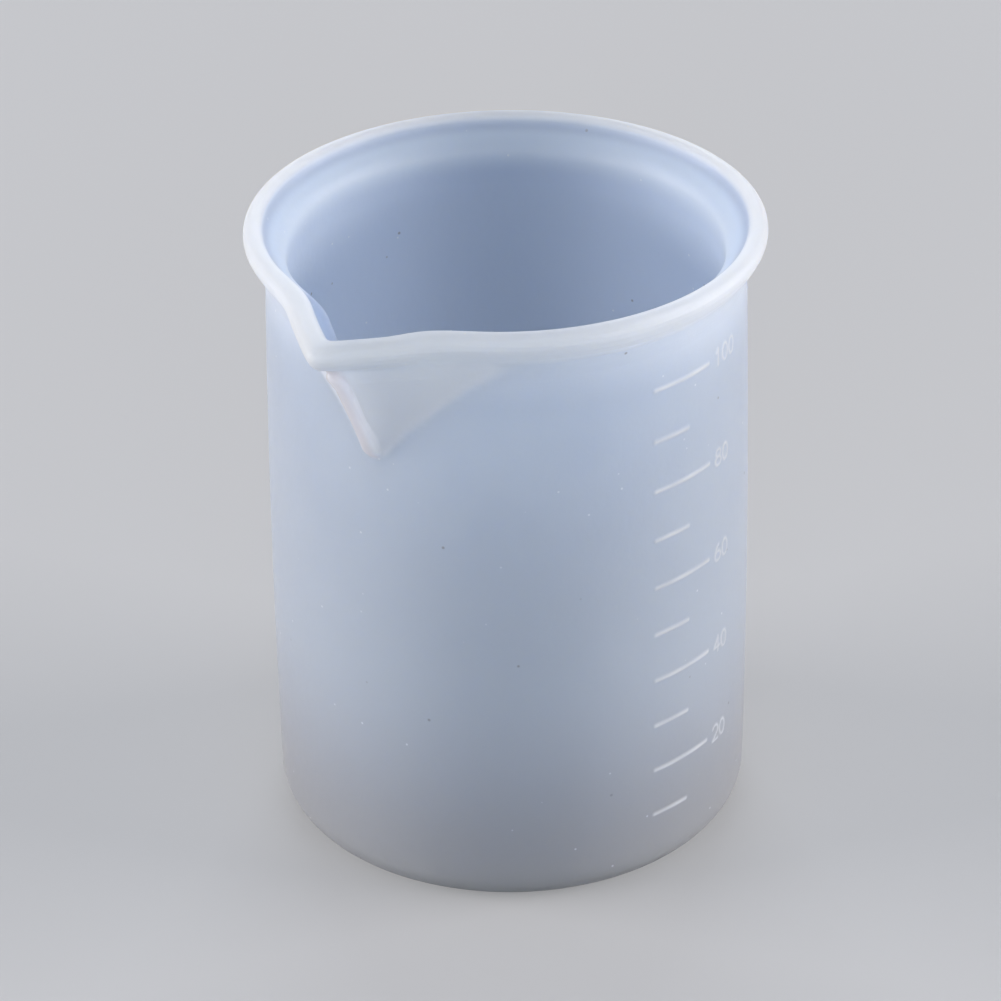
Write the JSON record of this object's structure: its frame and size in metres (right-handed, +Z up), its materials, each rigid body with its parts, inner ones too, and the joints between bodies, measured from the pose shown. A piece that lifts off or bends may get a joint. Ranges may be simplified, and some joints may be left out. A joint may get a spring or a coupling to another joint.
{
  "type": "measuring cup",
  "caption": "Small milky silicone measuring cup with a flared round lip, a pointed pouring spout and a raised millilitre scale on its side.",
  "frame": {"origin": "middle of the underside of the base, on the axis of the round cup", "axes": "+Z up the axis of the cup, -X out along the pouring spout, -Y out through the raised scale"},
  "size_m": [0.0628, 0.055, 0.07],
  "materials": {
    "silicone": "satin, milky and translucent with a cold tint"
  },
  "bodies": {
    "root": {"base": "silicone", "side_wall": "silicone", "rim": "silicone", "spout": "silicone"}
  },
  "joints": []
}
